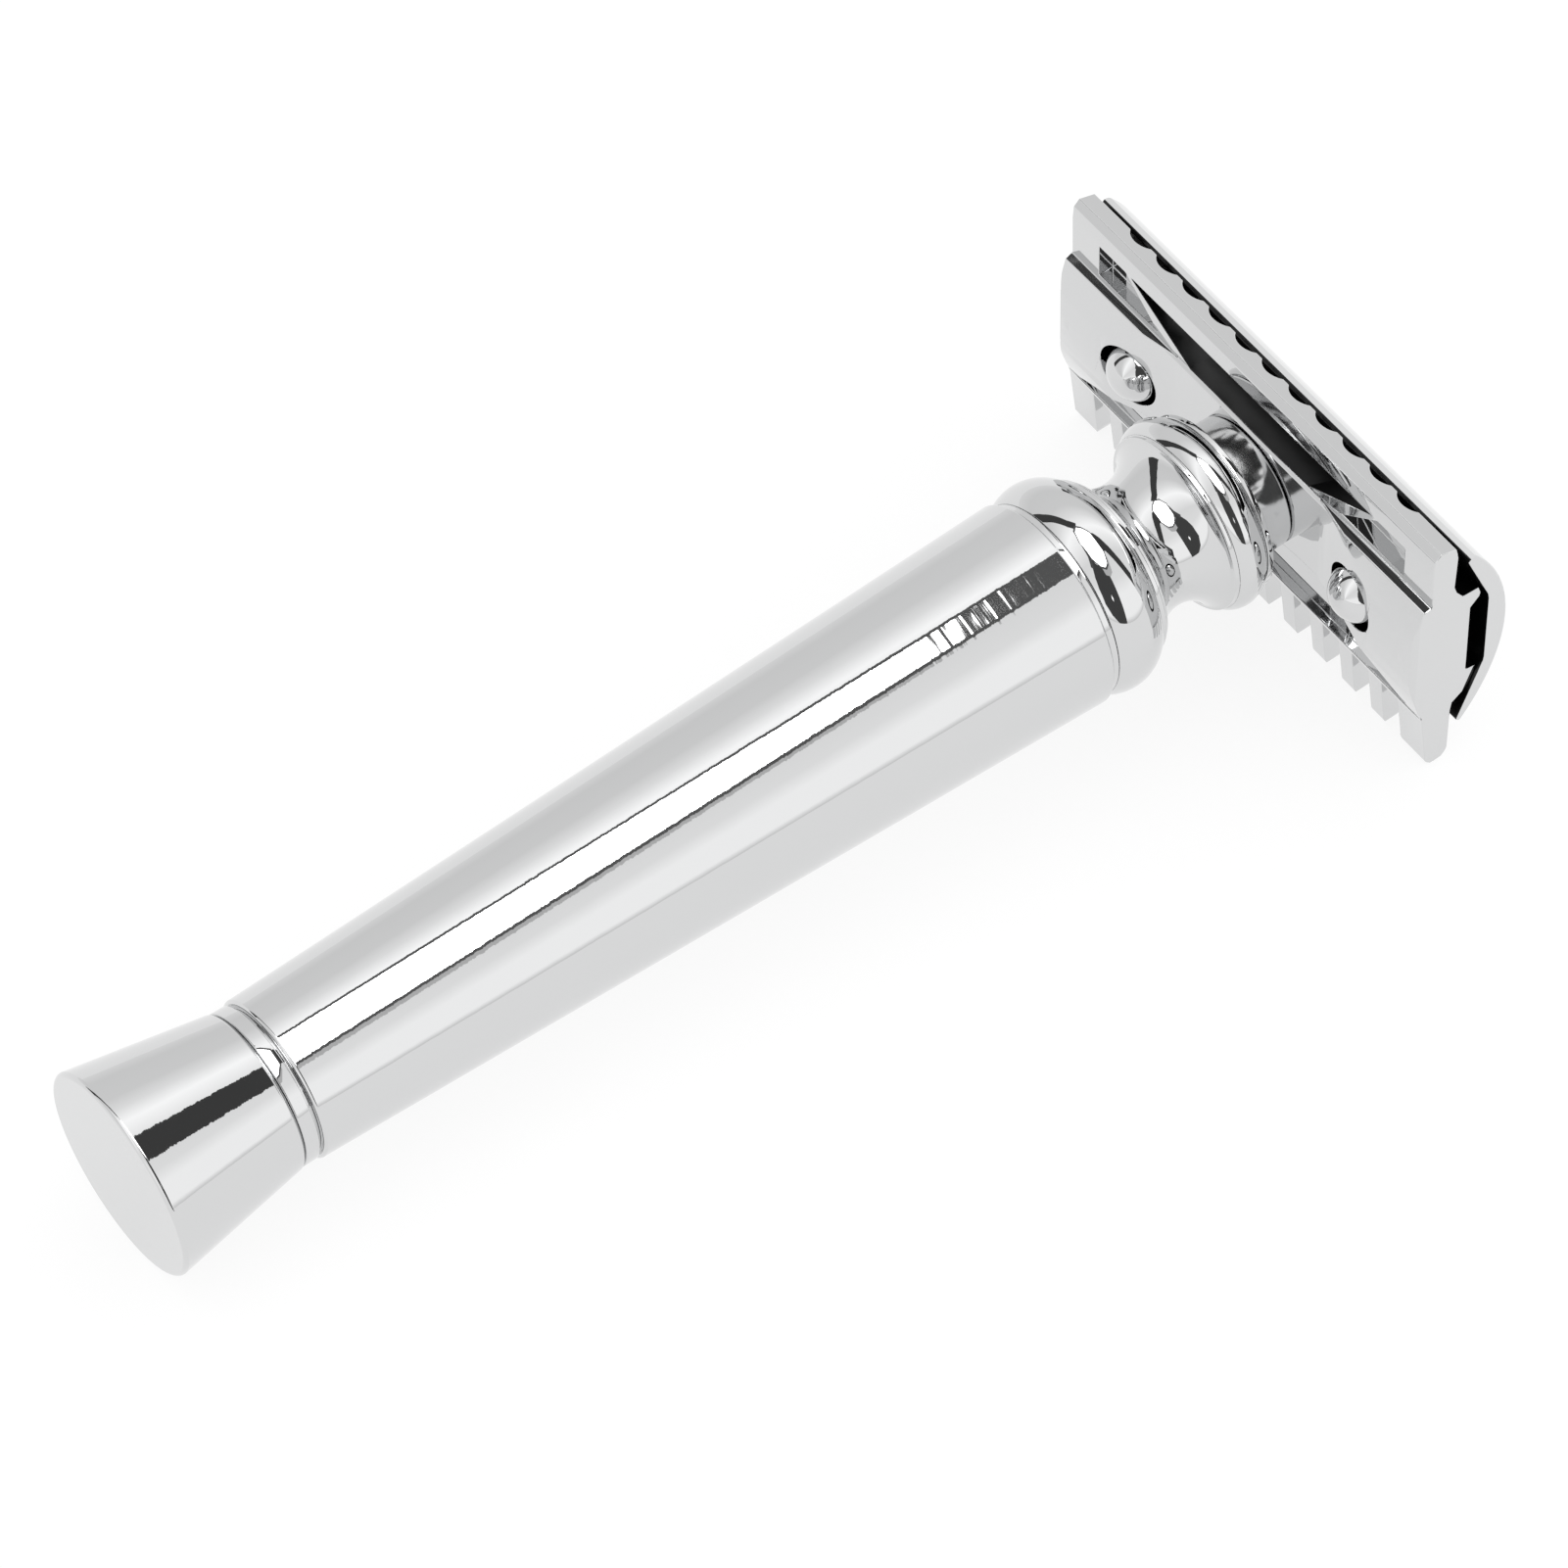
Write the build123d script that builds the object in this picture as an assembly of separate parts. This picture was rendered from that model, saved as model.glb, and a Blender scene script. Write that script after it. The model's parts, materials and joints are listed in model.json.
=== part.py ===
"""Safety razor for double-edge blades: a turned handle, a hybrid guard plate and a clamping cap.

Every piece is drawn standing up, with the butt of the handle on z = 0 and the head on top. The
scalloped bar of the plate is on the -y side and the comb on the +y side. At the end each piece
is laid down as the razor rests on a table, on the rim of the knob and the tips of the comb.
All sizes are in millimetres.
"""

import math
import os

from build123d import *

# ---- fits -------------------------------------------------------------------------------------
SLIP_FIT = 0.02          # radial, between pieces that are fastened together
RUNNING_FIT = 0.05       # radial, stud in its thread
SEAT_GAP = 0.05          # plate over the end of the neck
BLADE_THICKNESS = 0.10
CLAMP_PLAY = 0.05        # what is left over at the clamped blade

# ---- end knob ---------------------------------------------------------------------------------
KNOB_LENGTH = 11.9
BUTT_RADIUS = 8.45
BUTT_ROUND = 0.35
KNOB_TOP_RADIUS = 6.52
KNOB_LIP = 0.30          # turned step at the top of the knob
KNOB_SPIGOT_RADIUS = 5.20
KNOB_SPIGOT_LENGTH = 6.0
KNOB_WEB = 5.0           # solid metal between the butt and the rod hole

# ---- collar between knob and barrel -----------------------------------------------------------
COLLAR_LENGTH = 1.50
COLLAR_RADIUS = 6.42
COLLAR_GROOVE_WIDTH = 0.34
COLLAR_GROOVE_DEPTH = 0.38

# ---- barrel -----------------------------------------------------------------------------------
BARREL_LENGTH = 70.2
BARREL_LOW_RADIUS = 6.60
BARREL_HIGH_RADIUS = 8.56
BARREL_EDGE = 0.18
BARREL_BORE = 5.50

# ---- big rounded ring -------------------------------------------------------------------------
RING_LENGTH = 5.00
RING_CREST_RADIUS = 8.86
RING_GROOVE_RADIUS = 8.10
RING_GROOVE_WIDTH = 0.55
RING_END_RADIUS = 7.95

# ---- neck -------------------------------------------------------------------------------------
DISC_RADIUS = 7.50
DISC_LENGTH = 0.70
DISC_STEP_RADIUS = 7.15
DISC_STEP_LENGTH = 0.35
COVE_LENGTH = 6.20
COVE_RADIUS = 5.35       # thinnest place of the neck
COVE_LOW_RADIUS = 7.00
COVE_HIGH_RADIUS = 7.20
LIST_RADIUS = 7.42       # narrow band under the bead
LIST_LENGTH = 0.35
BEAD_LENGTH = 2.60
BEAD_CREST_RADIUS = 8.08
BEAD_END_RADIUS = 7.50
NECK_GROOVE_RADIUS = 7.05
NECK_GROOVE_WIDTH = 0.22
TOP_RING_RADIUS = 7.45
TOP_RING_LENGTH = 0.50
SPIGOT_RADIUS = 5.60
SPIGOT_LENGTH = 3.23
SPIGOT_CHAMFER = 0.15
TAIL_LENGTH = 12.0       # of the neck, inside the ring and the barrel
TAIL_SOLID = 2.0         # metal between the rod hole and the insert's seat

# ---- tie rod ----------------------------------------------------------------------------------
ROD_RADIUS = 2.0
ROD_END_GAP = 0.3

# ---- threaded insert and stud -----------------------------------------------------------------
INSERT_RADIUS = 3.60
INSERT_LENGTH = 11.5
STUD_RADIUS = 2.50
THREAD_PITCH = 0.80
THREAD_TURNS = 6
STUD_SHANK_RADIUS = 2.10
STUD_POINT = 0.5

# ---- guard plate ------------------------------------------------------------------------------
PLATE_LENGTH = 43.0
STUD_HOLE_PLAY = 0.25
FLOOR_HEIGHT = 3.99      # of the middle of the plate, above its underside
RIDGE_HEIGHT = 4.90
RIDGE_OFFSET = 4.90      # of each ridge from the middle
RIDGE_WIDTH = 0.75
STEP_OFFSET = 6.35       # where the thick middle meets the thin bar side
STEP_RISE = 0.06         # of the bar side's underside above the middle's
EDGE_DROP = 0.15         # of the middle's long edges below its seat
BAR_EDGE = 12.30
BAR_TOP = 2.40
BAR_UNDER = 0.02
BAR_INNER = 10.20
BAR_CORNER = 0.65        # of the front face's lower edge above the bar's underside
SLOT_HALF = 14.3         # half length of the lather slot beside the bar
SLOT_MIDDLE = 7.0        # half length of its straight inner wall
POCKET_END = 18.2        # half distance between the outer ends of the pockets beyond the slot
POCKET_SIDE = 0.5        # web between a pocket and the thick middle, at the pocket's outer end
POCKET_DEPTH = 1.40
SEAT_MARGIN = 0.20       # flat left round the end of the neck
SCALLOPS = 11
SCALLOP_PITCH = 3.17
SCALLOP_RADIUS = 1.60
SCALLOP_DEPTH = 0.85
SCALLOP_RUN = 2.6        # how far the scallops run in from the bar's edge
LOBE_START = 8.6         # the lobes thicken the plate from here to its ends
LOBE_FULL = 17.0
LOBE_DROP = 1.50
LOBE_END_ROUND = 0.55
VALLEY_END = 20.4        # half length of the hollow between the middle and the comb
VALLEY_WAIST = 3.45      # nearest it comes to the middle line, beside the posts
VALLEY_CENTRE = 4.70     # the same, in front of the handle
VALLEY_DEPTH = 0.55
ROOT_RIB = 0.50
COMB_ROOT = 7.90
COMB_TIP = 13.97
COMB_TIP_ROUND = 1.10
COMB_TIP_HEIGHT = 1.60   # of the middle of the tooth tips
COMB_TOP = 2.75
TOOTH_GAPS = 11
TOOTH_GAP = 1.97
TOOTH_WIDTH = 1.55
END_TOOTH_ROUND = 1.30

# ---- cap --------------------------------------------------------------------------------------
CAP_LENGTH = 43.6
CAP_HALF_WIDTH = 9.95
CAP_RISE = 3.60          # of the crown above the cap's edges
CAP_EDGE_IN = 0.25       # the underside starts this far in from the cap's sides
CAP_EDGE_DOWN = 0.74
CAP_EDGE_WALL = 0.50     # upright part of the cap's sides
CAP_RECESS_HALF = 3.60
CAP_RECESS_TOP = 1.62    # above the edge's upper corner
CAP_END_ROUND = 0.30
CAP_BOSS_RADIUS = 3.80
CAP_BOSS_DROP = 0.60

# ---- alignment posts --------------------------------------------------------------------------
POST_SPACING = 26.8
POST_RADIUS = 2.10
POST_DOME_RADIUS = 2.45
POST_DOME_HEIGHT = 0.15  # of the dome's centre above the plate's underside
POST_HOLE_RADIUS = 2.80
POST_SHANK_RADIUS = 1.30
CAP_SKIN = 0.80          # metal left over the stud and the posts at the crown


def outline(start, *steps):
    """Face from straight steps (a point) and arcs (a pair: a point on the arc, its end)."""
    edges = []
    here = start
    for step in steps:
        if isinstance(step[0], tuple):
            edges.append(ThreePointArc(here, step[0], step[1]))
            here = step[1]
        else:
            edges.append(Line(here, step))
            here = step
    edges.append(Line(here, start))
    return make_face(edges)


def turned(start, *steps):
    """Solid of revolution about z from an outline of (radius, height) points."""
    return revolve(Plane.XZ * outline(start, *steps), Axis.Z)


def drawn(length, start, *steps):
    """Bar of the given length along x from an outline of (y, height) points."""
    return extrude(Plane.YZ * outline(start, *steps), length / 2, both=True)


def rod(radius, low, high, x=0.0, y=0.0):
    """Round bar along z between two heights."""
    return Pos(x, y, low) * Cylinder(radius, high - low, align=(Align.CENTER, Align.CENTER, Align.MIN))


def block(x_low, x_high, y_low, y_high, z_low, z_high):
    """Box between two corners."""
    size = Box(x_high - x_low, y_high - y_low, z_high - z_low, align=(Align.MIN,) * 3)
    return Pos(x_low, y_low, z_low) * size


# ---- heights of the joints between the pieces -------------------------------------------------
collar_z = KNOB_LENGTH
barrel_z = collar_z + COLLAR_LENGTH
ring_z = barrel_z + BARREL_LENGTH
neck_z = ring_z + RING_LENGTH
disc_top_z = neck_z + DISC_LENGTH
cove_z = disc_top_z + DISC_STEP_LENGTH
list_z = cove_z + COVE_LENGTH
bead_z = list_z + LIST_LENGTH
bead_top_z = bead_z + BEAD_LENGTH
top_ring_z = bead_top_z + NECK_GROOVE_WIDTH
spigot_z = top_ring_z + TOP_RING_LENGTH
neck_top_z = spigot_z + SPIGOT_LENGTH
plate_z = neck_top_z + SEAT_GAP
rod_low_z = KNOB_WEB + ROD_END_GAP
insert_z = neck_top_z - INSERT_LENGTH
rod_high_z = insert_z - TAIL_SOLID - ROD_END_GAP
tail_z = neck_z - TAIL_LENGTH
spigot_top_z = collar_z + KNOB_SPIGOT_LENGTH
stud_low_z = neck_top_z - THREAD_TURNS * THREAD_PITCH
clamp_gap = BLADE_THICKNESS + CLAMP_PLAY


def make_end_knob():
    """Flared knob with a flat butt, a spigot for the collar and the barrel, and a rod hole."""
    body = turned(
        (0, 0),
        (BUTT_RADIUS - BUTT_ROUND, 0),
        ((BUTT_RADIUS - 0.3 * BUTT_ROUND, 0.3 * BUTT_ROUND), (BUTT_RADIUS, BUTT_ROUND)),
        (KNOB_TOP_RADIUS, KNOB_LENGTH - KNOB_LIP),
        (KNOB_TOP_RADIUS - KNOB_LIP, KNOB_LENGTH),
        (KNOB_SPIGOT_RADIUS, KNOB_LENGTH),
        (KNOB_SPIGOT_RADIUS, spigot_top_z),
        (0, spigot_top_z),
    )
    return body - rod(ROD_RADIUS + SLIP_FIT, KNOB_WEB, spigot_top_z + 1)


def make_knob_collar():
    """Narrow ring between the knob and the barrel, with a groove under the barrel."""
    inner = KNOB_SPIGOT_RADIUS + SLIP_FIT
    groove_low = barrel_z - COLLAR_GROOVE_WIDTH
    return turned(
        (inner, collar_z),
        (COLLAR_RADIUS, collar_z),
        (COLLAR_RADIUS, groove_low),
        (COLLAR_RADIUS - COLLAR_GROOVE_DEPTH, groove_low),
        (COLLAR_RADIUS - COLLAR_GROOVE_DEPTH, barrel_z),
        (inner, barrel_z),
    )


def make_barrel():
    """Long hollow grip, wider towards the head."""
    return turned(
        (BARREL_BORE, barrel_z),
        (BARREL_LOW_RADIUS - BARREL_EDGE, barrel_z),
        (BARREL_LOW_RADIUS, barrel_z + BARREL_EDGE),
        (BARREL_HIGH_RADIUS, ring_z - BARREL_EDGE),
        (BARREL_HIGH_RADIUS - BARREL_EDGE, ring_z),
        (BARREL_BORE, ring_z),
    )


def make_front_ring():
    """Big rounded ring at the front of the grip."""
    tail_radius = BARREL_BORE - SLIP_FIT
    inner = tail_radius + SLIP_FIT
    arc_z = ring_z + RING_GROOVE_WIDTH
    return turned(
        (inner, ring_z),
        (RING_GROOVE_RADIUS, ring_z),
        (RING_GROOVE_RADIUS, arc_z),
        ((RING_CREST_RADIUS, arc_z + 0.47 * (neck_z - arc_z)), (RING_END_RADIUS, neck_z)),
        (inner, neck_z),
    )


def make_neck():
    """Turned neck: stepped disc, cove, bead and the spigot that carries the head."""
    tail_radius = BARREL_BORE - SLIP_FIT
    body = turned(
        (0, tail_z),
        (tail_radius, tail_z),
        (tail_radius, neck_z),
        (DISC_RADIUS - 0.3, neck_z),
        (DISC_RADIUS, neck_z + 0.3),
        (DISC_RADIUS, disc_top_z),
        (DISC_STEP_RADIUS, disc_top_z),
        (DISC_STEP_RADIUS, cove_z),
        (COVE_LOW_RADIUS, cove_z),
        ((COVE_RADIUS, cove_z + 0.47 * COVE_LENGTH), (COVE_HIGH_RADIUS, list_z)),
        (LIST_RADIUS, list_z),
        (LIST_RADIUS, bead_z),
        ((BEAD_CREST_RADIUS, bead_z + 0.55 * BEAD_LENGTH), (BEAD_END_RADIUS, bead_top_z)),
        (NECK_GROOVE_RADIUS, bead_top_z),
        (NECK_GROOVE_RADIUS, top_ring_z),
        (TOP_RING_RADIUS, top_ring_z),
        (TOP_RING_RADIUS, spigot_z),
        (SPIGOT_RADIUS, spigot_z),
        (SPIGOT_RADIUS, neck_top_z - SPIGOT_CHAMFER),
        (SPIGOT_RADIUS - SPIGOT_CHAMFER, neck_top_z),
        (0, neck_top_z),
    )
    body -= rod(ROD_RADIUS + SLIP_FIT, tail_z - 1, insert_z - TAIL_SOLID)
    return body - rod(INSERT_RADIUS + SLIP_FIT, insert_z, neck_top_z + 1)


def make_thread_insert():
    """Hard sleeve with the thread that the cap's stud screws into."""
    body = rod(INSERT_RADIUS, insert_z, neck_top_z)
    return body - rod(STUD_RADIUS + RUNNING_FIT, insert_z - 1, neck_top_z + 1)


def make_tie_rod():
    """Rod that holds the knob, the barrel and the neck together."""
    return rod(ROD_RADIUS, rod_low_z, rod_high_z)


# ---- head: heights of the cap follow from the plate's ridges ----------------------------------
ridge_z = plate_z + RIDGE_HEIGHT
cap_inner_slope = 0.405                      # fall of the cap's underside towards its edges
cap_edge_inner = CAP_HALF_WIDTH - CAP_EDGE_IN
cap_edge_z = ridge_z + clamp_gap - cap_inner_slope * (cap_edge_inner - RIDGE_OFFSET)
cap_corner_z = cap_edge_z + CAP_EDGE_DOWN
crown_z = cap_corner_z + CAP_RISE
recess_z = cap_corner_z + CAP_RECESS_TOP
cap_boss_z = recess_z - CAP_BOSS_DROP
hole_top_z = crown_z - CAP_SKIN


def comb_blank(length):
    """Comb side of the plate before the gaps: tapered, with rounded tips."""
    centre = COMB_TIP - COMB_TIP_ROUND
    tip_z = plate_z + COMB_TIP_HEIGHT
    return drawn(
        length,
        (COMB_ROOT - 2.0, plate_z),
        (COMB_ROOT - 0.4, plate_z - EDGE_DROP),
        (COMB_ROOT, plate_z - EDGE_DROP + 0.10),
        (centre, tip_z - COMB_TIP_ROUND),
        ((COMB_TIP, tip_z), (centre, tip_z + COMB_TIP_ROUND)),
        (COMB_ROOT + 0.6, plate_z + COMB_TOP),
        (COMB_ROOT - 2.0, plate_z + COMB_TOP),
    )


def tooth_plan(x_low, x_high, round_low, round_high):
    """Plan of one tooth as a tall prism, its two tip corners rounded."""
    tip = COMB_TIP + 0.05
    root = COMB_ROOT - ROOT_RIB
    face = outline(
        (x_low, root),
        (x_high, root),
        (x_high, tip - round_high),
        ((x_high - 0.293 * round_high, tip - 0.293 * round_high), (x_high - round_high, tip)),
        (x_low + round_low, tip),
        ((x_low + 0.293 * round_low, tip - 0.293 * round_low), (x_low, tip - round_low)),
    )
    return extrude(Pos(0, 0, plate_z - 1) * face, COMB_TOP + 3)


def make_comb():
    """Comb with round-tipped teeth and a wider tooth at each end."""
    half = PLATE_LENGTH / 2
    pitch = TOOTH_GAP + TOOTH_WIDTH
    first = -(TOOTH_GAPS * pitch - TOOTH_WIDTH) / 2
    tip_round = 0.45 * TOOTH_WIDTH
    teeth = tooth_plan(-half, first, 0.25, END_TOOTH_ROUND)
    teeth += tooth_plan(-first, half, END_TOOTH_ROUND, 0.25)
    for number in range(TOOTH_GAPS - 1):
        low = first + TOOTH_GAP + number * pitch
        teeth += tooth_plan(low, low + TOOTH_WIDTH, tip_round, tip_round)
    teeth += block(-half, half, COMB_ROOT - ROOT_RIB, COMB_ROOT, plate_z - 1, plate_z + COMB_TOP + 1)
    return comb_blank(PLATE_LENGTH) & teeth


def make_lobe():
    """Thickened end of the plate's middle, on the +x side: rounded both along and across."""
    half = PLATE_LENGTH / 2
    low = plate_z - LOBE_DROP
    edge = plate_z - EDGE_DROP
    top = plate_z + 0.5
    along = outline(
        (LOBE_START, plate_z),
        (LOBE_FULL - 1.5, low + 0.30),
        ((LOBE_FULL + 0.2, low + 0.05), (half - 1.6, low)),
        ((half - 0.4, low + 0.16), (half, low + LOBE_END_ROUND)),
        (half, top),
        (LOBE_START, top),
    )
    lobe = extrude(Plane.XZ * along, COMB_TIP, both=True)
    return lobe & drawn(
        PLATE_LENGTH,
        (-STEP_OFFSET, edge + 0.25),
        (-STEP_OFFSET + 0.20, edge - 0.45),
        ((0.6, low), (COMB_ROOT - 0.5, edge)),
        (COMB_ROOT - 0.5, top),
        (-STEP_OFFSET, top),
    )


def make_valley():
    """Hollow between the middle of the plate and the roots of the comb, as a cutter."""
    far = COMB_ROOT - ROOT_RIB
    waist = (POST_SPACING / 2 - 1.0, VALLEY_WAIST)
    centre = (0, VALLEY_CENTRE)
    face = outline(
        (-VALLEY_END, far),
        ((-waist[0], waist[1]), centre),
        ((waist[0], waist[1]), (VALLEY_END, far)),
    )
    return extrude(Pos(0, 0, plate_z - LOBE_DROP - 1) * face, LOBE_DROP + 1 + VALLEY_DEPTH)


def make_slot():
    """Lather slot and the blind pocket beyond each of its ends, as a cutter."""
    low = plate_z - LOBE_DROP - 1
    slot = outline(
        (-SLOT_HALF, -BAR_INNER),
        (-SLOT_MIDDLE, -STEP_OFFSET),
        (SLOT_MIDDLE, -STEP_OFFSET),
        (SLOT_HALF, -BAR_INNER),
    )
    pocket = outline(
        (SLOT_HALF + 0.7, -BAR_INNER),
        (POCKET_END, -BAR_INNER),
        (POCKET_END, -STEP_OFFSET - POCKET_SIDE),
        (SLOT_MIDDLE + 4.0, -STEP_OFFSET - 0.6),
    )
    pockets = extrude(Pos(0, 0, low) * pocket, plate_z + POCKET_DEPTH - low)
    through = extrude(Pos(0, 0, low) * slot, plate_z + BAR_TOP + 1.2 - low)
    return through + pockets + mirror(pockets, Plane.YZ)


def make_base_plate():
    """Hybrid guard plate: scalloped bar on one side, open comb on the other."""
    ridge_out = RIDGE_OFFSET + RIDGE_WIDTH / 2
    ridge_in = RIDGE_OFFSET - RIDGE_WIDTH / 2
    middle = drawn(
        PLATE_LENGTH,
        (-STEP_OFFSET + 0.25, plate_z - EDGE_DROP),
        (-STEP_OFFSET + 0.5, plate_z),
        (COMB_ROOT - 2.0, plate_z),
        (COMB_ROOT - 0.4, plate_z - EDGE_DROP),
        (COMB_ROOT - 0.4, plate_z + COMB_TOP - 0.4),
        (COMB_ROOT - 0.25, plate_z + COMB_TOP + 0.1),
        (COMB_ROOT - 1.0, plate_z + COMB_TOP + 1.2),
        (ridge_out + 0.9, ridge_z - 0.45),
        (ridge_out, ridge_z - 0.08),
        (ridge_in, ridge_z),
        (ridge_in - 0.15, plate_z + FLOOR_HEIGHT + 0.1),
        (ridge_in - 0.35, plate_z + FLOOR_HEIGHT),
        (-ridge_in + 1.2, plate_z + FLOOR_HEIGHT),
        (-ridge_in + 0.4, ridge_z - 0.08),
        (-ridge_in, ridge_z),
        (-ridge_out, ridge_z - 0.25),
        (-ridge_out - 0.12, plate_z + BAR_TOP + 0.75),
        (-STEP_OFFSET, plate_z + BAR_TOP + 0.1),
        (-STEP_OFFSET, plate_z + 0.10),
    )
    bar_side = drawn(
        PLATE_LENGTH,
        (-STEP_OFFSET + 0.6, plate_z + STEP_RISE),
        (-STEP_OFFSET + 0.6, plate_z + BAR_TOP + 0.1),
        (-STEP_OFFSET, plate_z + BAR_TOP + 0.1),
        (-STEP_OFFSET - 0.8, plate_z + BAR_TOP - 0.15),
        (-BAR_EDGE + 1.6, plate_z + BAR_TOP),
        (-BAR_EDGE + 0.50, plate_z + BAR_TOP - 0.26),
        (-BAR_EDGE, plate_z + BAR_UNDER + BAR_CORNER),
        (-BAR_EDGE + 0.55, plate_z + BAR_UNDER + 0.10),
        (-BAR_EDGE + 1.7, plate_z + BAR_UNDER),
        (-STEP_OFFSET - 0.1, plate_z + STEP_RISE),
    )
    lobe = make_lobe()
    plate = middle + bar_side + lobe + mirror(lobe, Plane.YZ)
    plate = plate - make_valley() + make_comb()
    plate -= make_slot()
    plate -= rod(SPIGOT_RADIUS + SEAT_MARGIN, plate_z - LOBE_DROP - 1, plate_z)
    cutter_z = plate_z + BAR_TOP - SCALLOP_DEPTH + SCALLOP_RADIUS
    for number in range(SCALLOPS):
        x = (number - (SCALLOPS - 1) / 2) * SCALLOP_PITCH
        cutter = Rot(90, 0, 0) * Cylinder(SCALLOP_RADIUS, 2 * SCALLOP_RUN)
        plate -= Pos(x, -BAR_EDGE, cutter_z) * cutter
    plate -= rod(STUD_RADIUS + STUD_HOLE_PLAY, plate_z - 1, ridge_z + 1)
    for x in (-POST_SPACING / 2, POST_SPACING / 2):
        plate -= rod(POST_HOLE_RADIUS, plate_z - LOBE_DROP - 1, ridge_z + 1, x)
    return plate


def make_cap():
    """Curved cap: a recess along its middle, and underside lands that clamp the blade."""
    land = RIDGE_OFFSET + 0.30
    land_z = cap_edge_z + cap_inner_slope * (cap_edge_inner - land)
    low = (-CAP_HALF_WIDTH, cap_corner_z)
    high = (CAP_HALF_WIDTH, cap_corner_z)
    cap = drawn(
        CAP_LENGTH,
        low,
        ((0, crown_z), high),
        (CAP_HALF_WIDTH, cap_corner_z - CAP_EDGE_WALL),
        (cap_edge_inner, cap_edge_z),
        (land, land_z),
        (CAP_RECESS_HALF + 0.55, land_z + 0.45),
        (CAP_RECESS_HALF, recess_z),
        (-CAP_RECESS_HALF, recess_z),
        (-CAP_RECESS_HALF - 0.55, land_z + 0.45),
        (-land, land_z),
        (-cap_edge_inner, cap_edge_z),
        (-CAP_HALF_WIDTH, cap_corner_z - CAP_EDGE_WALL),
    )
    rims = cap.faces().filter_by(Axis.X).edges().filter_by(GeomType.CIRCLE)
    cap = fillet(rims, CAP_END_ROUND)
    cap += rod(CAP_BOSS_RADIUS, cap_boss_z, recess_z + 0.5)
    cap -= rod(STUD_SHANK_RADIUS + SLIP_FIT, cap_boss_z - 1, hole_top_z)
    for x in (-POST_SPACING / 2, POST_SPACING / 2):
        cap -= rod(POST_SHANK_RADIUS + SLIP_FIT, cap_boss_z - 1, hole_top_z, x)
    return cap


def make_cap_stud():
    """Threaded stud fixed in the cap; it pulls the cap down onto the plate."""
    return turned(
        (0, stud_low_z),
        (STUD_RADIUS - STUD_POINT, stud_low_z),
        (STUD_RADIUS, stud_low_z + STUD_POINT),
        (STUD_RADIUS, cap_boss_z),
        (STUD_SHANK_RADIUS, cap_boss_z),
        (STUD_SHANK_RADIUS, hole_top_z - SLIP_FIT),
        (0, hole_top_z - SLIP_FIT),
    )


def make_post(x):
    """Post with a domed end that lines the cap up with the plate."""
    dome_z = plate_z + POST_DOME_HEIGHT
    post = rod(POST_RADIUS, dome_z, recess_z, x)
    post += Pos(x, 0, dome_z) * Sphere(POST_DOME_RADIUS)
    return post + rod(POST_SHANK_RADIUS, recess_z - 0.1, hole_top_z - SLIP_FIT, x)


def resting_pose(pieces):
    """Placement that lays the razor on the rim of its knob and the tips of its comb."""
    run = plate_z + COMB_TIP_HEIGHT - BUTT_ROUND
    rise = (COMB_TIP - COMB_TIP_ROUND) - (BUTT_RADIUS - BUTT_ROUND)
    tilt = math.atan2(rise, run) + math.asin((COMB_TIP_ROUND - BUTT_ROUND) / math.hypot(run, rise))
    along = (math.cos(tilt), 0, math.sin(tilt))
    laid = Location(Plane(origin=(0, 0, 0), x_dir=(0, -1, 0), z_dir=along))
    box = Compound(children=[laid * piece for piece in pieces]).bounding_box()
    shift = Location((-box.center().X, -box.center().Y, -box.min.Z))
    return tilt, shift * laid


nodes = {
    "end_knob": make_end_knob(),
    "knob_collar": make_knob_collar(),
    "barrel": make_barrel(),
    "front_ring": make_front_ring(),
    "neck": make_neck(),
    "thread_insert": make_thread_insert(),
    "tie_rod": make_tie_rod(),
    "base_plate": make_base_plate(),
    "cap": make_cap(),
    "cap_stud": make_cap_stud(),
    "post_near": make_post(POST_SPACING / 2),
    "post_far": make_post(-POST_SPACING / 2),
}
tilt, placement = resting_pose(nodes.values())

os.makedirs("parts", exist_ok=True)
for name, piece in nodes.items():
    export_step(placement * piece, f"parts/{name}.step")
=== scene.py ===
"""Looks of a polished safety razor: chrome finish, painted shade in the head's gaps, softened
edges, threads, and a bright studio.
"""

import json
import math

import bmesh
import bpy
from mathutils import Matrix, Vector


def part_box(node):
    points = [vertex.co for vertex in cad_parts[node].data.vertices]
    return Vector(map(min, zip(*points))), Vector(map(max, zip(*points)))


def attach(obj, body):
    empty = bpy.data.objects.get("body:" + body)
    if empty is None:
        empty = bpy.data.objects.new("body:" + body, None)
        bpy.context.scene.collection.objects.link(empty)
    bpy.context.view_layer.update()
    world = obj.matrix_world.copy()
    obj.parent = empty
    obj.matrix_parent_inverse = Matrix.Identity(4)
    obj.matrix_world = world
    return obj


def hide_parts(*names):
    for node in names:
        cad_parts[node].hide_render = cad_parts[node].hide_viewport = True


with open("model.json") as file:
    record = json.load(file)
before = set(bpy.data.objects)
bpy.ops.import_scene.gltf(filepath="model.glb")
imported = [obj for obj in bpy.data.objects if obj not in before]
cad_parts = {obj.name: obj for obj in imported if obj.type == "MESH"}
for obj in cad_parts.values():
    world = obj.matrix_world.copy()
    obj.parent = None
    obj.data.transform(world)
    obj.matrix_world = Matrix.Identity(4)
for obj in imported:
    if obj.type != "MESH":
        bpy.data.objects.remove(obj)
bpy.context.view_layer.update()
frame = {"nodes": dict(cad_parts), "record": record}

MM = 0.001
TINY = 1e-7                  # metres; shorter than any real edge

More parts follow.
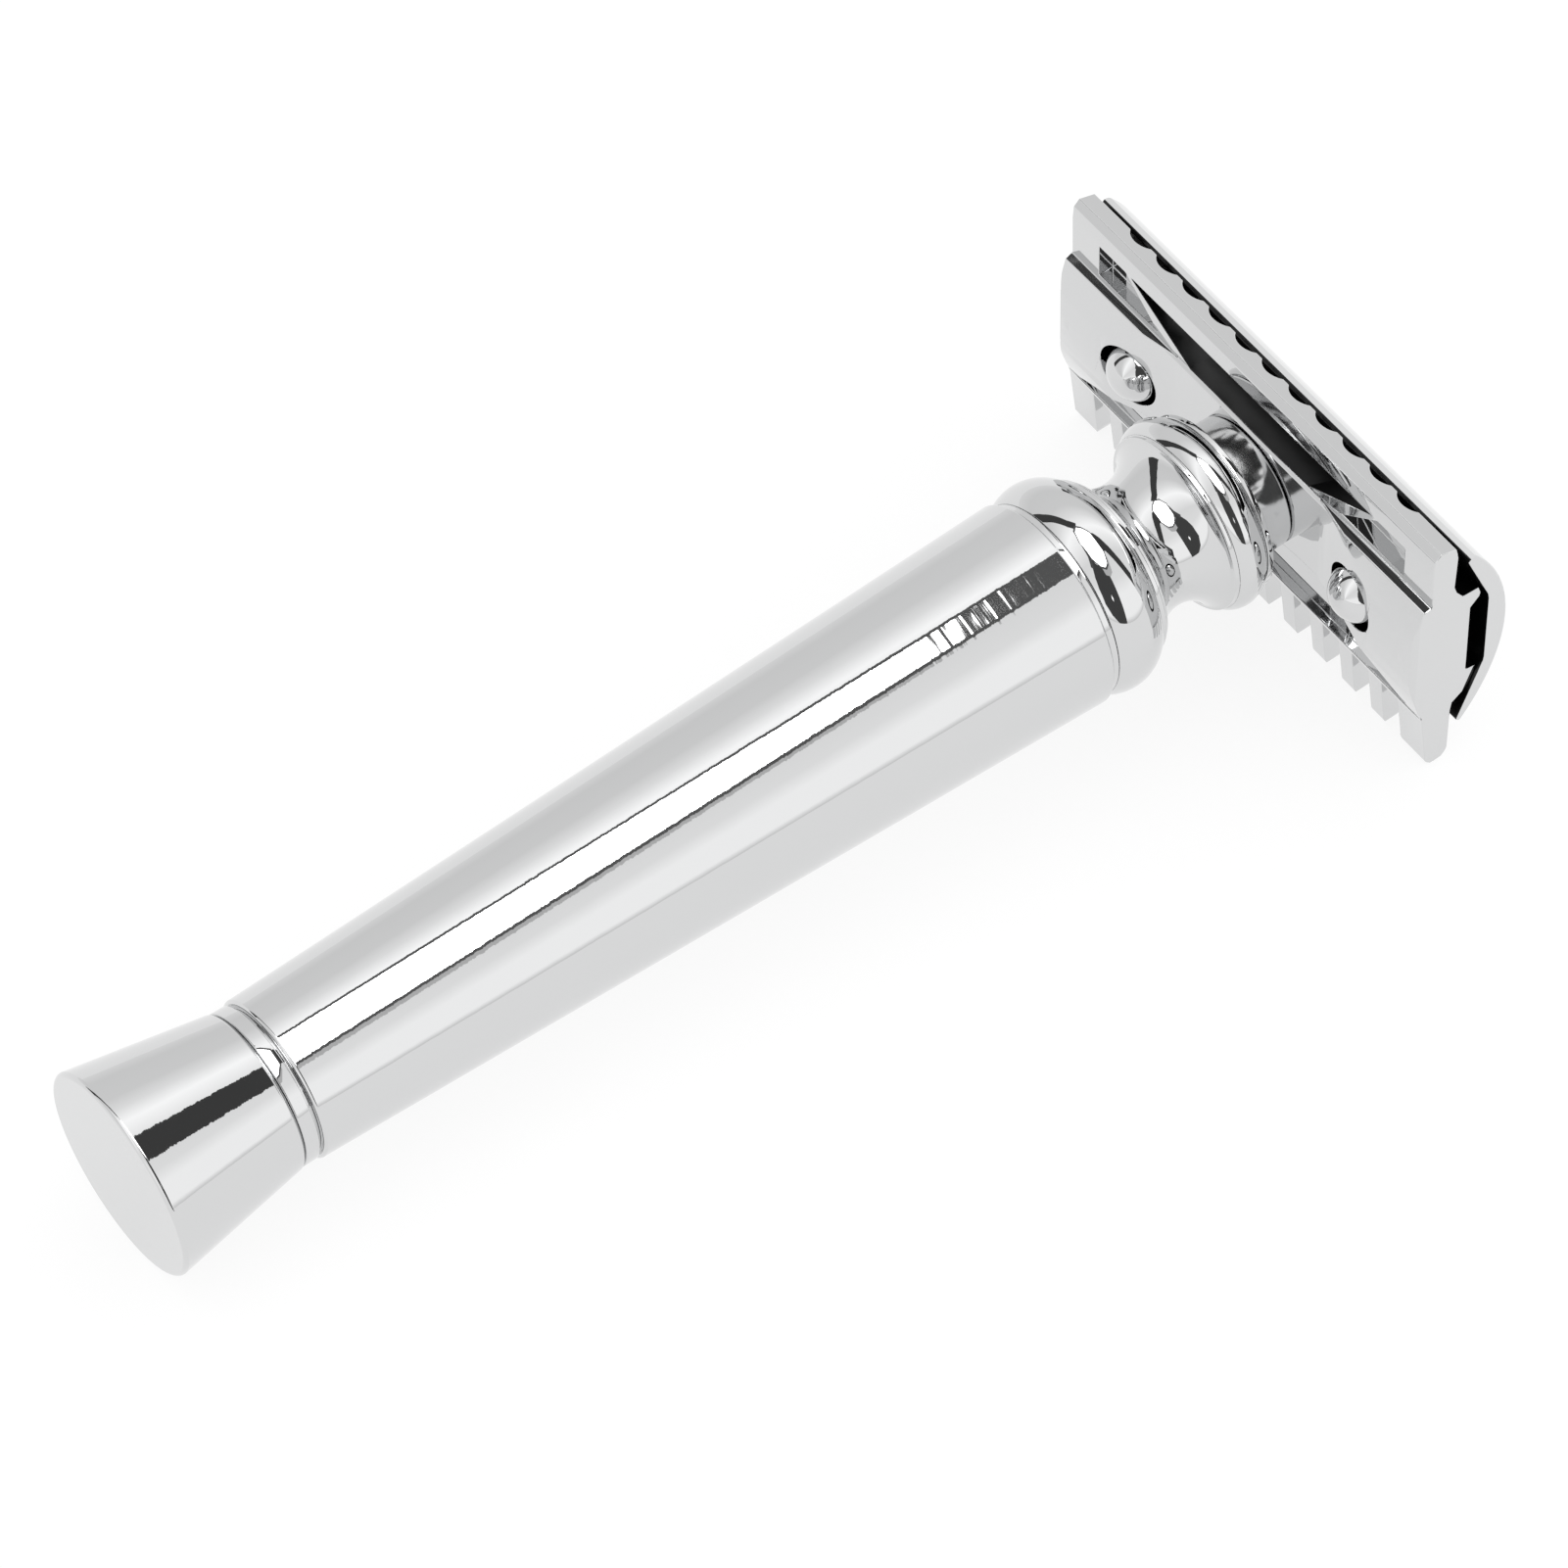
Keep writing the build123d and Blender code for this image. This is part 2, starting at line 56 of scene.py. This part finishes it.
# ---- the razor's own axes: origin at the butt, z along the handle, x along the head -------------
butt = next(mount for mount in frame["record"]["mounts"] if mount["name"] == "butt")
ALONG = -Vector(butt["axis"]).normalized()
ACROSS = Vector((0, -1, 0))
UP_COMB = ALONG.cross(ACROSS)
RAZOR_AXES = Matrix((ACROSS, UP_COMB, ALONG)).transposed().to_4x4()
TO_ROW = Matrix.Translation(Vector(butt["pos_m"])) @ RAZOR_AXES
TO_TOOL = TO_ROW.inverted()


# ---- shapes -------------------------------------------------------------------------------------
WELD = 0.0005 * MM           # corners closer than this are one corner
TURNS_ROUND = 160            # facets round a turned piece
SOFT_TURN = math.radians(0.4)     # an outline that turns less than this runs straight
HARD_TURN = math.radians(26)      # an outline that turns more than this has a corner
EDGE_ROUND = 0.09 * MM       # how far a corner is softened along its two sides
CORNER_SHARE = 0.4           # most of a side that a softened corner may take
CORNER_STEPS = 4
ARC_STEPS = 4
ARC_EVENNESS = 3             # the chords of one arc differ in length by less than this
FLAT = math.radians(0.05)    # faces that differ less than this are one flat
MILLED_SHARP = math.radians(35)   # edges of milled pieces that are softened
MILLED_SOFTNESS = 0.07 * MM


def welded(node):
    """The CAD node's mesh in the razor's own axes, its split corners joined again."""
    mesh = bmesh.new()
    mesh.from_mesh(frame["nodes"][node].data)
    mesh.transform(TO_TOOL)
    bmesh.ops.remove_doubles(mesh, verts=mesh.verts, dist=WELD)
    return mesh


def half_section(node, centre):
    """Points (radius, height) in order, where a turned node is cut through its own axis."""
    mesh = welded(node)
    everything = mesh.verts[:] + mesh.edges[:] + mesh.faces[:]
    bmesh.ops.bisect_plane(mesh, geom=everything, dist=TINY, plane_co=(0, 0, 0),
                           plane_no=(0, 1, 0), clear_inner=True, clear_outer=True)
    near = {}
    for edge in mesh.edges:
        first, second = edge.verts
        if min(first.co.x, second.co.x) > centre - TINY:
            near.setdefault(first, []).append(second)
            near.setdefault(second, []).append(first)
    ends = [vert for vert, others in near.items() if len(others) == 1]
    here = ends[0] if ends else next(iter(near))
    path = [here]
    while True:
        onward = [vert for vert in near[here] if vert not in path[-2:]]
        if not onward or onward[0] is path[0]:
            break
        here = onward[0]
        path.append(here)
    points = [Vector((vert.co.x - centre, vert.co.z)) for vert in path]
    if ends:
        points = [Vector((0, points[0].y))] + points + [Vector((0, points[-1].y))]
    mesh.free()
    return points, not ends


def turn_at(points, number):
    """Angle by which the outline turns at a point, positive to the left."""
    before = points[number] - points[number - 1]
    after = points[(number + 1) % len(points)] - points[number]
    return math.atan2(before.x * after.y - before.y * after.x, before.dot(after))


def without_spare(points, closed):
    """The outline without doubled points and points on straight stretches."""
    points = [point for n, point in enumerate(points)
              if (point - points[n - 1]).length > TINY or (n == 0 and not closed)]
    inner = range(len(points)) if closed else range(1, len(points) - 1)
    spare = {n for n in inner if abs(turn_at(points, n)) < SOFT_TURN}
    return [point for n, point in enumerate(points) if n not in spare]


def rounded_outline(points, closed, width):
    """The outline with its arcs made round again and its corners softened."""
    count = len(points)
    turns = [turn_at(points, n) if closed or 0 < n < count - 1 else 0.0 for n in range(count)]
    soft = [SOFT_TURN <= abs(turn) <= HARD_TURN for turn in turns]
    lengths = [(points[(n + 1) % count] - points[n]).length for n in range(count)]
    result = []
    for n in range(count):
        point, following = points[n], points[(n + 1) % count]
        before, after = lengths[n - 1], lengths[n]
        if abs(turns[n]) > HARD_TURN:
            back = min(width, CORNER_SHARE * before, CORNER_SHARE * after)
            start = point + (points[n - 1] - point).normalized() * back
            end = point + (following - point).normalized() * back
            for step in range(CORNER_STEPS + 1):
                t = step / CORNER_STEPS
                result.append(start * (1 - t) ** 2 + point * (2 * t * (1 - t)) + end * t * t)
        else:
            result.append(point)
        last = n == count - 1
        if last and not closed:
            break
        onward = (n + 1) % count
        around = [lengths[n - 1]] * soft[n] + [lengths[onward]] * soft[onward]
        bends = [turns[n]] * soft[n] + [turns[onward]] * soft[onward]
        if bends and after < ARC_EVENNESS * min(around):
            bend = max(bends, key=abs)
            middle = (point + following) / 2
            left = Vector((point.y - following.y, following.x - point.x))
            centre = middle + left / 2 / math.tan(bend / 2)
            for step in range(1, ARC_STEPS):
                spin = Matrix.Rotation(bend * step / ARC_STEPS, 2)
                result.append(centre + spin @ (point - centre))
    return result


def spun(points, closed, centre=0.0, radius_at=None):
    """Mesh of an outline turned round the z axis; radius_at can cut a thread into it."""
    mesh = bmesh.new()
    rings = []
    for point in points:
        if point.x < TINY:
            rings.append([mesh.verts.new((centre, 0, point.y))])
            continue
        ring = []
        for number in range(TURNS_ROUND):
            angle = 2 * math.pi * number / TURNS_ROUND
            radius = radius_at(point, angle) if radius_at else point.x
            spot = (centre + radius * math.cos(angle), radius * math.sin(angle), point.y)
            ring.append(mesh.verts.new(spot))
        rings.append(ring)
    pairs = list(zip(rings, rings[1:])) + ([(rings[-1], rings[0])] if closed else [])
    for first, second in pairs:
        for number in range(TURNS_ROUND):
            onward = (number + 1) % TURNS_ROUND
            corners = [first[number % len(first)], first[onward % len(first)],
                       second[onward % len(second)], second[number % len(second)]]
            corners = list(dict.fromkeys(corners))
            if len(corners) > 2:
                mesh.faces.new(corners)
    return mesh


def turned(node, centre=0.0):
    """Fine mesh of a turned CAD node."""
    points, closed = half_section(node, centre)
    outline = rounded_outline(without_spare(points, closed), closed, EDGE_ROUND)
    return spun(outline, closed, centre)


def place(name, mesh, body, replaced, materials, inner=None):
    """Object from a mesh in the razor's axes; it rides on a body and stands for CAD nodes."""
    mesh.normal_update()
    bmesh.ops.recalc_face_normals(mesh, faces=mesh.faces)
    for face in mesh.faces:
        face.smooth = True
        # inner picks the faces for the second material: the rougher spigot finish on the neck, and
        # the near-black painted shade on plate and cap.
        if inner and inner(face.calc_center_median() / MM, face.normal):
            face.material_index = 1
    mesh.transform(TO_ROW)
    data = bpy.data.meshes.new(name)
    mesh.to_mesh(data)
    mesh.free()
    for material in materials:
        data.materials.append(material)
    piece = bpy.data.objects.new(name, data)
    bpy.context.scene.collection.objects.link(piece)
    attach(piece, body)
    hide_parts(*replaced)
    return piece


def weigh_normals(piece):
    """Lets the large faces set the shading, so that flats stay flat beside their soft edges."""
    weighted = piece.modifiers.new("flat faces", "WEIGHTED_NORMAL")
    weighted.mode = "FACE_AREA"
    weighted.keep_sharp = True


def milled(node, shortest):
    """Mesh of a CAD node with its flats joined, and its hard longer edges marked to be softened."""
    mesh = welded(node)
    bmesh.ops.dissolve_limit(mesh, angle_limit=FLAT, verts=mesh.verts, edges=mesh.edges)
    weight = mesh.edges.layers.float.new("bevel_weight_edge")
    for edge in mesh.edges:
        if len(edge.link_faces) == 2 and edge.calc_face_angle(0) > MILLED_SHARP:
            edge.smooth = False
            if edge.calc_length() > shortest:
                edge[weight] = 1
    return mesh


def soften(piece, width):
    """Rounds the marked edges, so that they catch the light as polished edges do."""
    bevel = piece.modifiers.new("soft edges", "BEVEL")
    bevel.width = width
    bevel.segments = 3
    bevel.limit_method = "WEIGHT"
    bevel.use_clamp_overlap = False
    bevel.miter_outer = "MITER_ARC"


# ---- thread -------------------------------------------------------------------------------------
THREAD_PITCH = 0.8 * MM
THREAD_DEPTH = 0.43 * MM
THREAD_CREST = 0.14          # share of the pitch that the flat crest and root each take
THREAD_ROWS = 12             # rows of the mesh for each turn of thread
THREAD_RUN_OUT = 0.5         # share of the pitch over which the thread fades at its ends
ON_THREAD = 0.02 * MM        # points this close to a thread's radius carry the thread
STUD_RADIUS = 2.5 * MM
SLEEVE_RADIUS = 2.55 * MM


def thread_cut(height, angle):
    """How deep the thread is cut here, from 0 on its crest to 1 at its root."""
    place_in_turn = (height / THREAD_PITCH - angle / (2 * math.pi)) % 1
    slope = abs(2 * place_in_turn - 1)
    return min(1.0, max(0.0, (slope - THREAD_CREST) / (1 - 2 * THREAD_CREST)))


def with_rows(points, radius):
    """The outline with close rows added where it runs along a threaded radius."""
    result = []
    for point, following in zip(points, points[1:] + points[-1:]):
        result.append(point)
        if abs(point.x - radius) + abs(following.x - radius) < ON_THREAD:
            count = int(abs(following.y - point.y) / THREAD_PITCH * THREAD_ROWS)
            result += [point.lerp(following, step / count) for step in range(1, count)]
    return result


def threaded(node, radius):
    """Fine mesh of a turned node with its thread cut inwards from a radius."""
    points, closed = half_section(node, 0.0)
    points = without_spare(points, closed)
    if closed:
        points.append(points[0].copy())
    outline = with_rows(points, radius)
    heights = [point.y for point in outline if abs(point.x - radius) < ON_THREAD]
    low, high = min(heights), max(heights)

    def radius_at(point, angle):
        if abs(point.x - radius) > ON_THREAD:
            return point.x
        from_end = min(point.y - low, high - point.y)
        fade = max(0.0, min(1.0, from_end / (THREAD_RUN_OUT * THREAD_PITCH)))
        return point.x - fade * THREAD_DEPTH * thread_cut(point.y, angle)

    if closed:
        outline.pop()
    return spun(outline, closed, 0.0, radius_at)


# ---- materials ----------------------------------------------------------------------------------
def link(tree, source, socket, target, name):
    """Joins an output of one node to a named input of another."""
    tree.links.new(source.outputs[socket], target.inputs[name])


def math_node(tree, operation, *values):
    """Math node on sockets or plain numbers; returns its output."""
    node = tree.nodes.new("ShaderNodeMath")
    node.operation = operation
    for number, value in enumerate(values):
        if isinstance(value, bpy.types.NodeSocket):
            tree.links.new(value, node.inputs[number])
        else:
            node.inputs[number].default_value = value
    return node.outputs[0]


def noise(tree, coordinate, period, dimensions, detail=2.0):
    """Noise between 0 and 1 whose features are about one period apart."""
    node = tree.nodes.new("ShaderNodeTexNoise")
    node.noise_dimensions = dimensions
    node.inputs["Scale"].default_value = 1 / period
    node.inputs["Detail"].default_value = detail
    tree.links.new(coordinate, node.inputs["W" if dimensions == "1D" else "Vector"])
    return node.outputs["Fac"]


def along_handle(tree):
    """Distance from the butt along the handle, in metres, and the plain position."""
    place_node = tree.nodes.new("ShaderNodeTexCoord")
    dot = tree.nodes.new("ShaderNodeVectorMath")
    dot.operation = "DOT_PRODUCT"
    dot.inputs[1].default_value = ALONG
    link(tree, place_node, "Object", dot, 0)
    return dot.outputs["Value"], place_node.outputs["Object"]


RIPPLE_GROWTH = (28 * MM, 62 * MM, 0.04, 1.0)    # the turning marks grow towards the head
SMEAR_PERIOD = 6 * MM
SMEAR = 0.03                 # how much the roughness differs from place to place


def grey(shade):
    """Faintly cool grey."""
    return (shade * 0.995, shade, shade * 1.005, 1)


def metal(name, ripple, ripple_period, wave, wave_period, roughness=0.025, colour=grey(0.66)):
    """Finished metal: turned ripples along the handle, and the slow waves that buffing leaves."""
    material = bpy.data.materials.new(name)
    material.use_nodes = True
    tree = material.node_tree
    shader = tree.nodes["Principled BSDF"]
    shader.inputs["Metallic"].default_value = 1
    height, position = along_handle(tree)
    growth = tree.nodes.new("ShaderNodeMapRange")
    growth.interpolation_type = "SMOOTHSTEP"
    tree.links.new(height, growth.inputs["Value"])
    for socket, value in zip(("From Min", "From Max", "To Min", "To Max"), RIPPLE_GROWTH):
        growth.inputs[socket].default_value = value
    strength = math_node(tree, "MULTIPLY", growth.outputs["Result"], ripple)
    coarse = math_node(tree, "MULTIPLY", noise(tree, height, ripple_period, "1D"), strength)
    waves = math_node(tree, "MULTIPLY", noise(tree, position, wave_period, "3D", 1.0), wave)
    bump = tree.nodes.new("ShaderNodeBump")
    bump.inputs["Strength"].default_value = 1
    bump.inputs["Distance"].default_value = 1
    tree.links.new(math_node(tree, "ADD", coarse, waves), bump.inputs["Height"])
    link(tree, bump, "Normal", shader, "Normal")
    smear = noise(tree, position, SMEAR_PERIOD, "3D", 4.0)
    rough = math_node(tree, "MULTIPLY_ADD", smear, SMEAR, roughness - SMEAR / 2)
    tree.links.new(rough, shader.inputs["Roughness"])
    shader.inputs["Base Color"].default_value = colour
    return material


TURNED = metal("turned chrome", 48e-6, 0.65 * MM, 4.5e-6, 1.6 * MM)
POLISHED = metal("polished chrome", 0.3e-6, 0.5 * MM, 3e-6, 2.5 * MM)
CAST = metal("plated chrome", 0.0, 1 * MM, 5e-6, 2.2 * MM)
# Near-black colour is painted shade for the gap between plate and cap and for the lather slot; the
# higher roughness stands for unpolished inner faces.
SHADED_INSIDE = metal("rough inner faces with painted shade", 0.0, 1 * MM, 8e-6, 0.8 * MM, 0.3, grey(0.035))
RECESS = metal("chrome buffing misses", 0.0, 1 * MM, 12e-6, 0.9 * MM, 0.14)
BRASS = metal("turned brass", 1e-6, 0.3 * MM, 1e-6, 1 * MM, 0.2, (0.72, 0.52, 0.25, 1))
STEEL = metal("drawn steel", 1e-6, 0.3 * MM, 1e-6, 1 * MM, 0.25, grey(0.5))

# ---- pieces -------------------------------------------------------------------------------------
# Body, finish, and the side of the head that the piece's axis lies on, 0 for the handle's own axis.
TURNED_PIECES = {
    "end_knob": ("handle", TURNED, 0),
    "knob_collar": ("handle", POLISHED, 0),
    "barrel": ("handle", TURNED, 0),
    "front_ring": ("handle", POLISHED, 0),
    "neck": ("handle", POLISHED, 0),
    "post_near": ("cap", POLISHED, 1),
    "post_far": ("cap", POLISHED, -1),
}
post_low, post_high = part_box("post_near")
POST_OFFSET = -(post_low.y + post_high.y) / 2
# Places on the head, in millimetres, and what counts as steep on a face's normal; they pick the
# faces for the rough spigot finish and for the painted shade.
SEAT = max((TO_TOOL @ vert.co).z for vert in frame["nodes"]["neck"].data.vertices) / MM
SPIGOT = 3.25                # how far the neck's spigot stands up to its seat
COVERED = 10.0               # half width of what the cap covers
COVERED_FROM = SEAT + 1.9    # the plate's faces that look at the cap lie above this
SLOT_FROM = SEAT + 0.05      # the slot's walls lie above this
SLOT_OUTSIDE = -10.3
SLOT_MIDDLE = -8.3
SLOT_INSIDE = -6.2
SLOT_HALF = 11.8             # half the slot's length on its middle line
SLOT_NARROWING = 1.9         # half length that it loses for each millimetre inwards
STEEP = 0.3                  # a normal less upright than this belongs to a wall
END_WALL = 0.5               # a normal more lengthwise than this belongs to an end
FACES_DOWN = -0.05


def on_spigot(spot, normal):
    """Faces of the neck between its top ring and the plate, where no wheel reaches."""
    return spot.z > SEAT - SPIGOT


for node, (body, material, side) in TURNED_PIECES.items():
    mesh = turned(node, side * POST_OFFSET)
    inner = on_spigot if node == "neck" else None
    weigh_normals(place(node + "_finish", mesh, body, [node], [material, RECESS], inner))


def painted_shade_on_plate(spot, normal):
    """Faces of the plate that face the cap, and the walls of the lather slot, which get the
    near-black painted shade.
    """
    covered = spot.z > COVERED_FROM and abs(spot.y) < COVERED
    faces_cap = covered and normal.z > -STEEP and abs(normal.x) < END_WALL
    wall = spot.z > SLOT_FROM and abs(normal.z) < STEEP
    reach = SLOT_HALF - SLOT_NARROWING * (spot.y - SLOT_MIDDLE)
    in_slot = SLOT_OUTSIDE < spot.y < SLOT_INSIDE and abs(spot.x) < reach
    return faces_cap or (wall and in_slot)


def painted_shade_on_cap(spot, normal):
    """Faces of the cap that face the plate, with the slopes under its edges, which get the
    near-black painted shade.
    """
    return normal.z < FACES_DOWN


# Plate and cap: plated chrome, with near-black painted shade on the faces between them and in the
# lather slot.
for node, body, shortest, inner in (("base_plate", "guard", 0.12 * MM, painted_shade_on_plate),
                                    ("cap", "cap", 1 * MM, painted_shade_on_cap)):
    mesh = milled(node, shortest)
    piece = place(node + "_finish", mesh, body, [node], [CAST, SHADED_INSIDE], inner)
    soften(piece, MILLED_SOFTNESS)
    weigh_normals(piece)

place("cap_stud_thread", threaded("cap_stud", STUD_RADIUS), "cap", ["cap_stud"],
      [POLISHED])
place("sleeve_thread", threaded("thread_insert", SLEEVE_RADIUS), "handle",
      ["thread_insert"], [BRASS])
frame["nodes"]["tie_rod"].data.materials[0] = STEEL

# ---- studio -------------------------------------------------------------------------------------
# The light tent is drawn on a dome. A place on it is an angle round the x axis, from straight up
# towards the camera's side, and how far it lies towards +x, from -1 to 1.
DOME = 4.0                   # its radius in metres
CARD_CUTS = 7                # how finely a card is divided before it is bent
SIDE_STRETCH = 100           # makes both measures of a flat card of like size
SOFTBOX = ((-5, 0.265), (17, 0.265), (28, 0.13), (31, -0.02), (28, -0.17), (18, -0.30),
           (-2, -0.30), (-13, -0.17), (-16, -0.02), (-12, 0.13))
SOFTBOX_SIDE = ((17, 0.265), (24, 0.265), (38, 0.13), (41, -0.02), (38, -0.17), (28, -0.17),
                (31, -0.02), (28, 0.13))
STAND = ((-5, 0.26), (17, 0.26), (17, 0.36), (27, 0.46), (40, 0.56), (56, 0.66), (66, 0.70),
         (50, 0.77), (30, 0.68), (14, 0.58), (2, 0.47), (-4, 0.37))
DOORWAY = ((30, 0.05), (36, -0.04), (60, -0.07), (90, -0.10), (90, -0.38), (83, -0.55),
           (70, -0.66), (50, -0.66), (36, -0.60), (26, -0.50), (19, -0.40), (15, -0.33),
           (24, -0.30), (29, -0.18))
SMALL_LAMP = ((62, -0.32), (66, -0.35), (62, -0.38), (58, -0.35))
LEFT_POLE = ((-17, 0.02), (-25, -0.15), (-38, -0.30), (-52, -0.45), (-70, -0.57), (-90, -0.64))
LOWER_POLE = ((-14, -0.17), (-5, -0.24), (5, -0.32), (15, -0.37), (26, -0.50))


def on_dome(turn, side, distance):
    """Point of the dome for an angle round x and a share towards +x."""
    flat = math.sqrt(1 - side * side)
    angle = math.radians(turn)
    return Vector((side, -flat * math.sin(angle), flat * math.cos(angle))) * distance


def glow(name, colour, strength):
    """Material that only gives off light."""
    material = bpy.data.materials.new(name)
    material.use_nodes = True
    tree = material.node_tree
    tree.nodes.clear()
    emission = tree.nodes.new("ShaderNodeEmission")
    emission.inputs["Color"].default_value = (*colour, 1)
    emission.inputs["Strength"].default_value = strength
    output = tree.nodes.new("ShaderNodeOutputMaterial")
    link(tree, emission, "Emission", output, "Surface")
    return material


def card(name, outline, strength, distance):
    """Card bent to the dome, which shows only in reflections."""
    mesh = bmesh.new()
    mesh.faces.new([mesh.verts.new((turn, side * SIDE_STRETCH, 0)) for turn, side in outline])
    bmesh.ops.triangulate(mesh, faces=mesh.faces)
    bmesh.ops.subdivide_edges(mesh, edges=mesh.edges, cuts=CARD_CUTS, use_grid_fill=True)
    for vert in mesh.verts:
        vert.co = on_dome(vert.co.x, vert.co.y / SIDE_STRETCH, distance)
    data = bpy.data.meshes.new(name)
    mesh.to_mesh(data)
    mesh.free()
    data.materials.append(glow(name, (1, 1, 1), strength))
    piece = bpy.data.objects.new(name, data)
    bpy.context.scene.collection.objects.link(piece)
    piece.visible_camera = False
    piece.visible_diffuse = False
    piece.visible_shadow = False


def pole(name, points, half_turn, half_side, strength, distance):
    """Narrow card that follows a line of places on the dome."""
    upper = [(turn + half_turn, side + half_side) for turn, side in points]
    lower = [(turn - half_turn, side - half_side) for turn, side in reversed(points)]
    for number in range(len(points) - 1):
        back = len(lower) - 1 - number
        quad = (upper[number], upper[number + 1], lower[back - 1], lower[back])
        card(f"{name} {number + 1}", quad, strength, distance)


def grown(outline, share):
    """The outline made larger about its middle."""
    middle = [sum(values) / len(outline) for values in zip(*outline)]
    return [tuple(m + share * (v - m) for m, v in zip(middle, point)) for point in outline]


for name, outline, strength, share in (
    ("softbox", SOFTBOX, 5.0, 0.93),
    ("softbox rim", grown(SOFTBOX, 1.12), 0.12, 0.94),
    ("softbox side", SOFTBOX_SIDE, 0.6, 0.95),
    ("softbox stand", STAND, 0.06, 0.96),
    ("tent doorway", DOORWAY, 0.07, 0.97),
    ("small lamp", SMALL_LAMP, 1.6, 0.93),
):
    card(name, outline, strength, DOME * share)
pole("left pole", LEFT_POLE, 3, -0.08, 0.06, DOME * 0.98)
pole("lower pole", LOWER_POLE, 2.0, 0.03, 0.1, DOME * 0.965)

FLOOR_HALF = 4.0
TABLE_SHADE = 0.18
TABLE_GLOW = 0.83            # the rest of the table's white, so that shadows on it stay faint
corners = [(x * FLOOR_HALF, y * FLOOR_HALF, 0) for x, y in ((-1, -1), (1, -1), (1, 1), (-1, 1))]
floor_mesh = bpy.data.meshes.new("floor")
floor_mesh.from_pydata(corners, [], [(0, 1, 2, 3)])
floor = bpy.data.objects.new("floor", floor_mesh)
bpy.context.scene.collection.objects.link(floor)
table = bpy.data.materials.new("white table")
table.use_nodes = True
table_shader = table.node_tree.nodes["Principled BSDF"]
table_shader.inputs["Base Color"].default_value = (TABLE_SHADE, TABLE_SHADE, TABLE_SHADE, 1)
table_shader.inputs["Roughness"].default_value = 1
table_shader.inputs["Specular IOR Level"].default_value = 0
table_shader.inputs["Emission Color"].default_value = (1, 1, 1, 1)
table_shader.inputs["Emission Strength"].default_value = TABLE_GLOW
floor_mesh.materials.append(table)

world = bpy.data.worlds.new("studio")
bpy.context.scene.world = world
world.use_nodes = True
sky = world.node_tree
background = sky.nodes["Background"]
direction = sky.nodes.new("ShaderNodeTexCoord")
parts = sky.nodes.new("ShaderNodeSeparateXYZ")
link(sky, direction, "Generated", parts, "Vector")
towards_camera = math_node(sky, "MULTIPLY", parts.outputs["Y"], -1)
turn = math_node(sky, "ARCTAN2", towards_camera, parts.outputs["Z"])
turn_share = math_node(sky, "MULTIPLY_ADD", turn, 1 / (2 * math.pi), 0.5)
ramp = sky.nodes.new("ShaderNodeValToRGB")
sky.links.new(turn_share, ramp.inputs["Fac"])
# Brightness of the tent's walls at angles round the x axis.
WALLS = ((-180, 1.0), (-92, 0.95), (-75, 0.84), (-45, 0.87), (-30, 1.05), (-14, 1.4),
         (20, 1.0), (45, 1.05), (60, 1.25), (84, 1.25), (90, 0.80), (96, 1.0))
BRIGHTEST = 2.0              # brightness that the ramp's white stands for
for number, (angle, brightness) in enumerate(WALLS):
    stop = ramp.color_ramp.elements[number] if number < 2 else ramp.color_ramp.elements.new(1)
    stop.position = angle / 360 + 0.5
    stop.color = (brightness / BRIGHTEST,) * 3 + (1,)
link(sky, ramp, "Color", background, "Color")
background.inputs["Strength"].default_value = BRIGHTEST

# ---- camera -------------------------------------------------------------------------------------
CAMERA_PLACE = Vector((-0.21544, -0.27832, 0.46945))
CAMERA_RIGHT = Vector((0.80121, -0.59800, 0.02098))
CAMERA_UP = Vector((0.46363, 0.64260, 0.61002))
FOCAL_LENGTH = 180.28
SENSOR_WIDTH = 36
camera_data = bpy.data.cameras.new("camera")
camera_data.sensor_width = SENSOR_WIDTH
camera_data.lens = FOCAL_LENGTH
camera_data.clip_start = 0.01
camera = bpy.data.objects.new("camera", camera_data)
camera_axes = Matrix((CAMERA_RIGHT, CAMERA_UP, CAMERA_RIGHT.cross(CAMERA_UP))).transposed().to_4x4()
camera.matrix_world = Matrix.Translation(CAMERA_PLACE) @ camera_axes
bpy.context.scene.collection.objects.link(camera)
bpy.context.scene.camera = camera
bpy.context.scene.view_settings.view_transform = "Standard"
